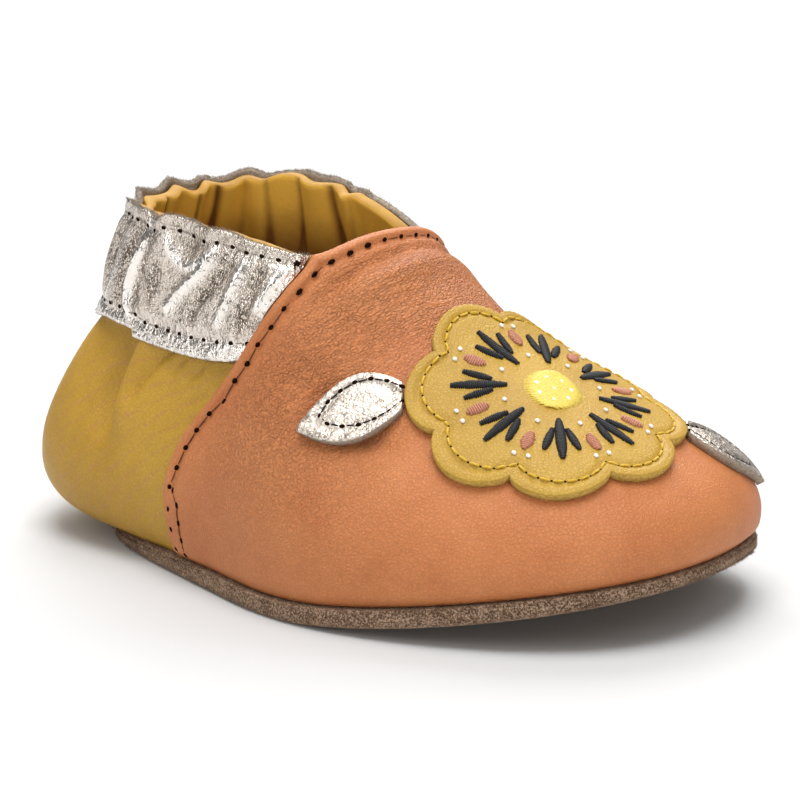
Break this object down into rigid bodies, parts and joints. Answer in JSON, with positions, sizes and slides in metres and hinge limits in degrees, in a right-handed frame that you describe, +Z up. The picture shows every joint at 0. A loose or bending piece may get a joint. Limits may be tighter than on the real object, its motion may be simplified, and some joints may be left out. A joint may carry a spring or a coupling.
{
  "type": "soft-sole baby shoe",
  "caption": "Slip-on soft-sole baby shoe in leather with a gathered elastic collar, overlaid vamp, suede sole and a sewn flower patch.",
  "frame": {"origin": "bottom centre of the shoe's box, on the floor", "axes": "+X from heel to toe, +Y to the inner (big toe) side of the right foot, +Z up"},
  "size_m": [0.1238, 0.067, 0.0547],
  "materials": {
    "taupe_suede": "napped suede, matt",
    "lining": "soft lining leather, matt",
    "mustard_leather": "smooth fine-grained leather, satin",
    "tan_leather": "smooth fine-grained leather, satin",
    "silver_leather": "crinkled metallic foil leather"
  },
  "bodies": {
    "root": {"outsole": "taupe_suede", "insole": "lining", "upper": "mustard_leather", "vamp": "tan_leather", "cuff": "silver_leather", "applique_flower": "mustard_leather", "applique_leaf_lateral": "silver_leather", "applique_leaf_medial": "silver_leather"}
  },
  "joints": []
}
